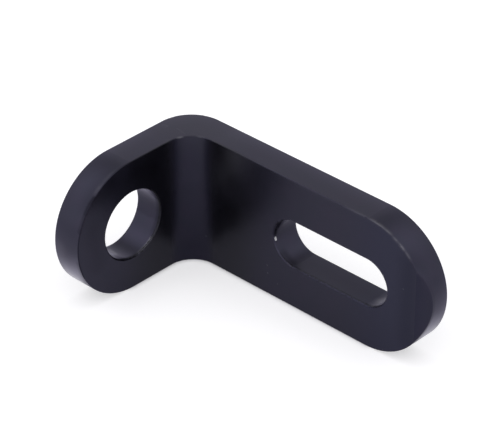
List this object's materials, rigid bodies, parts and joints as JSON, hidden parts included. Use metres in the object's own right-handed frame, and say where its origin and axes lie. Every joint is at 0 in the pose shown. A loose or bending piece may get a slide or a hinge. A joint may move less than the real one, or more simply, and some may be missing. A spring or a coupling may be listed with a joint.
{
  "type": "sensor bracket",
  "caption": "Right-angle bracket with rounded leg ends: a round hole in the short leg holds a barrel sensor, and a slot in the long leg takes the mounting screw.",
  "frame": {"origin": "centre of the sensor hole on the short leg's outer face, midway across the bracket's width", "axes": "+X along the sensor hole's axis and the long leg, +Y from the hole towards the long leg's outer face, +Z across the width, which is up when the bracket stands on its edge"},
  "size_m": [0.058, 0.0324, 0.025],
  "materials": {
    "anodised_aluminium": "satin black anodised, with bare metal showing in a few worn spots along the edges"
  },
  "bodies": {
    "root": {"bracket": "anodised_aluminium"}
  },
  "joints": []
}
